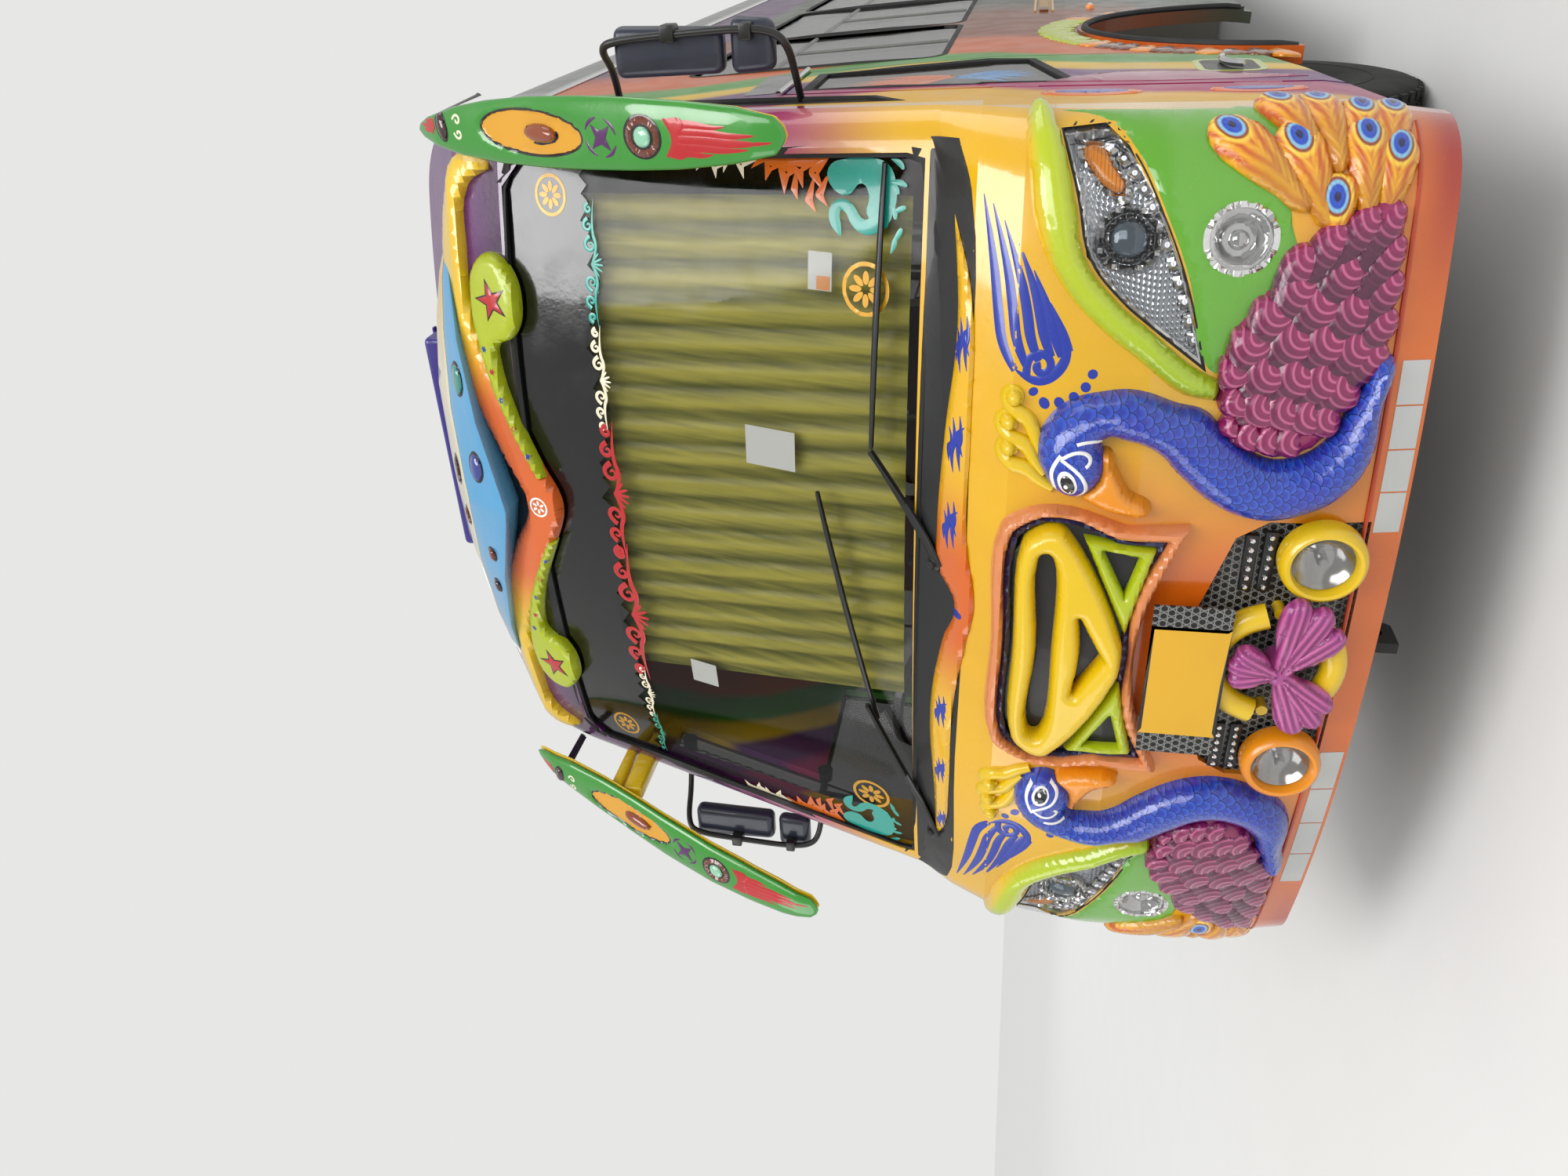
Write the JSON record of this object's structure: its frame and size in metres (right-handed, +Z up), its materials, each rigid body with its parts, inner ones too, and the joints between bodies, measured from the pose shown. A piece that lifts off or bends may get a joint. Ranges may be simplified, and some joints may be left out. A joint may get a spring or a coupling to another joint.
{
  "type": "decorated coach",
  "caption": "Front-engined coach with moulded peacock ornaments, raked windscreen, horn blades, opening doors and flaps",
  "frame": {"origin": "on the ground under the middle of the body", "axes": "+Z up, -Y towards the front, +X towards the coach's own left"},
  "size_m": [3, 11.088, 3.49],
  "materials": {
    "orange_paint": "gloss",
    "body_paint": "gloss",
    "purple_paint": "gloss",
    "yellow_moulding": "gloss",
    "salmon_moulding": "gloss",
    "lime_moulding": "gloss",
    "blue_moulding": "gloss",
    "magenta_moulding": "gloss",
    "feather_moulding": "gloss",
    "crest_moulding": "gloss",
    "green_moulding": "gloss",
    "glass": "clear",
    "lamp_glass": "clear",
    "tyre": "matt",
    "wheel_steel": "satin",
    "chassis_steel": "satin",
    "engine_iron": "matt",
    "floor_board": "matt",
    "cabin_plastic": "matt",
    "seat_cloth": "matt",
    "curtain_satin": "satin"
  },
  "bodies": {
    "coach": {"bow": "magenta_moulding", "chassis_frame": "chassis_steel", "cowl_band": "yellow_moulding", "curtain": "curtain_satin", "dashboard": "cabin_plastic", "engine_block": "engine_iron", "engine_cover": "cabin_plastic", "entry_steps": "floor_board", "floor_deck": "floor_board", "front_axle": "chassis_steel", "front_moulding": "orange_paint", "fuel_tank": "chassis_steel", "grille_frame": "salmon_moulding", "grille_mesh": "chassis_steel", "grille_mouth": "yellow_moulding", "headlamp_brows": "lime_moulding", "headlamps": "lamp_glass", "horns": "green_moulding", "leaf_springs": "chassis_steel", "luggage_boxes": "chassis_steel", "mirrors": "cabin_plastic", "peacock_necks": "blue_moulding", "peacock_tails": "feather_moulding", "peacock_wings": "magenta_moulding", "rear_axle": "chassis_steel", "rear_glass": "glass", "rear_panel": "body_paint", "ring_rims": "yellow_moulding", "roof_crest": "crest_moulding", "roof_dome": "purple_paint", "roof_panel": "body_paint", "roof_trim": "lime_moulding", "seats": "seat_cloth", "side_glass_left": "glass", "side_glass_right": "glass", "side_left": "body_paint", "side_right": "body_paint", "skirt_left": "body_paint", "skirt_right": "body_paint", "small_lamps": "lamp_glass", "towing_eyes": "chassis_steel", "windscreen": "glass", "wipers": "cabin_plastic"},
    "knuckle_left": {"knuckle_left": "chassis_steel"},
    "knuckle_right": {"knuckle_right": "chassis_steel"},
    "wheel_front_left": {"wheel_front_left": "wheel_steel", "tyre_front_left": "tyre"},
    "wheel_front_right": {"wheel_front_right": "wheel_steel", "tyre_front_right": "tyre"},
    "wheels_rear_left": {"wheels_rear_left": "wheel_steel", "tyres_rear_left": "tyre"},
    "wheels_rear_right": {"wheels_rear_right": "wheel_steel", "tyres_rear_right": "tyre"},
    "entry_door": {"entry_door": "purple_paint", "entry_door_glass": "glass"},
    "exit_door": {"exit_door": "body_paint", "exit_door_glass": "glass"},
    "boot_lid": {"boot_lid": "body_paint"},
    "luggage_flap_left": {"luggage_flap_left": "body_paint"},
    "luggage_flap_right": {"luggage_flap_right": "body_paint"}
  },
  "joints": [
    {"name": "steer_left", "type": "hinge", "parent": "coach", "child": "knuckle_left", "pos_m": [0.85, -3.4, 0.525], "axis": [0, 0, 1], "range_deg": [-35, 35]},
    {"name": "steer_right", "type": "hinge", "parent": "coach", "child": "knuckle_right", "pos_m": [-0.85, -3.4, 0.525], "axis": [0, 0, 1], "range_deg": [-35, 35]},
    {"name": "roll_front_left", "type": "hinge", "parent": "knuckle_left", "child": "wheel_front_left", "pos_m": [1, -3.4, 0.525], "axis": [1, 0, 0], "continuous": true},
    {"name": "roll_front_right", "type": "hinge", "parent": "knuckle_right", "child": "wheel_front_right", "pos_m": [-1, -3.4, 0.525], "axis": [1, 0, 0], "continuous": true},
    {"name": "roll_rear_left", "type": "hinge", "parent": "coach", "child": "wheels_rear_left", "pos_m": [0.925, 2.24, 0.525], "axis": [1, 0, 0], "continuous": true},
    {"name": "roll_rear_right", "type": "hinge", "parent": "coach", "child": "wheels_rear_right", "pos_m": [-0.925, 2.24, 0.525], "axis": [1, 0, 0], "continuous": true},
    {"name": "entry_door_hinge", "type": "hinge", "parent": "coach", "child": "entry_door", "pos_m": [1.292, -4.7305, 1.07], "axis": [0, 0, -1], "range_deg": [0, 80]},
    {"name": "exit_door_hinge", "type": "hinge", "parent": "coach", "child": "exit_door", "pos_m": [-1.292, 4.0695, 1.25], "axis": [0, 0, 1], "range_deg": [0, 80]},
    {"name": "boot_hinge", "type": "hinge", "parent": "coach", "child": "boot_lid", "pos_m": [0, 5.492, 1.5905], "axis": [1, 0, 0], "range_deg": [0, 80]},
    {"name": "luggage_flap_left_hinge", "type": "hinge", "parent": "coach", "child": "luggage_flap_left", "pos_m": [1.292, -0.25, 0.9355], "axis": [0, -1, 0], "range_deg": [0, 80]},
    {"name": "luggage_flap_right_hinge", "type": "hinge", "parent": "coach", "child": "luggage_flap_right", "pos_m": [-1.292, -0.25, 0.9355], "axis": [0, 1, 0], "range_deg": [0, 80]}
  ],
  "couplings": [
    {"joint": "steer_right", "follows": "steer_left", "ratio": 1}
  ]
}
